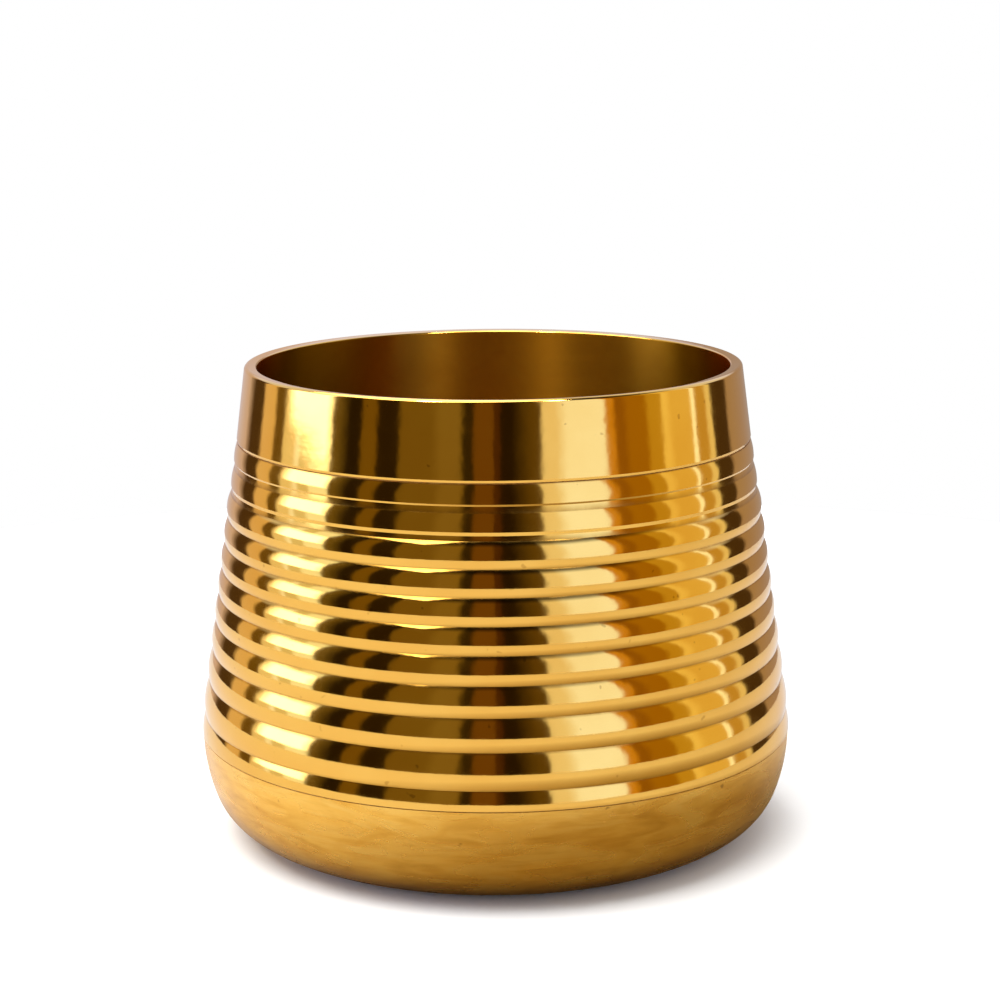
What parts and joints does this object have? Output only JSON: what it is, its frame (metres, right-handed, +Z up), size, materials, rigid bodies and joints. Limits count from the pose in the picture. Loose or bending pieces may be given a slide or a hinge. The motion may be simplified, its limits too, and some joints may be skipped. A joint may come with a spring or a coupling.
{
  "type": "planter pot",
  "caption": "Tapered brass planter pot with a smooth polished collar, rounded horizontal ribs and a satin bowl base; holds a potted plant indoors.",
  "frame": {"origin": "centre of the pot's axis on the surface that it stands on", "axes": "+Z up along the pot's axis, out of its mouth; X and Y are any two level directions, because the pot is round"},
  "size_m": [0.1611, 0.161, 0.1284],
  "materials": {
    "polished_brass": "mirror polished outside, satin turned inside",
    "satin_brass": "hand-buffed satin with faint marks",
    "solder": "dull, darkened",
    "felt": "pressed wool felt"
  },
  "bodies": {
    "root": {"rim_collar": "polished_brass", "collar_solder": "solder", "ribbed_body": "polished_brass", "seam_solder": "solder", "base_bowl": "satin_brass", "base_felt": "felt"}
  },
  "joints": []
}
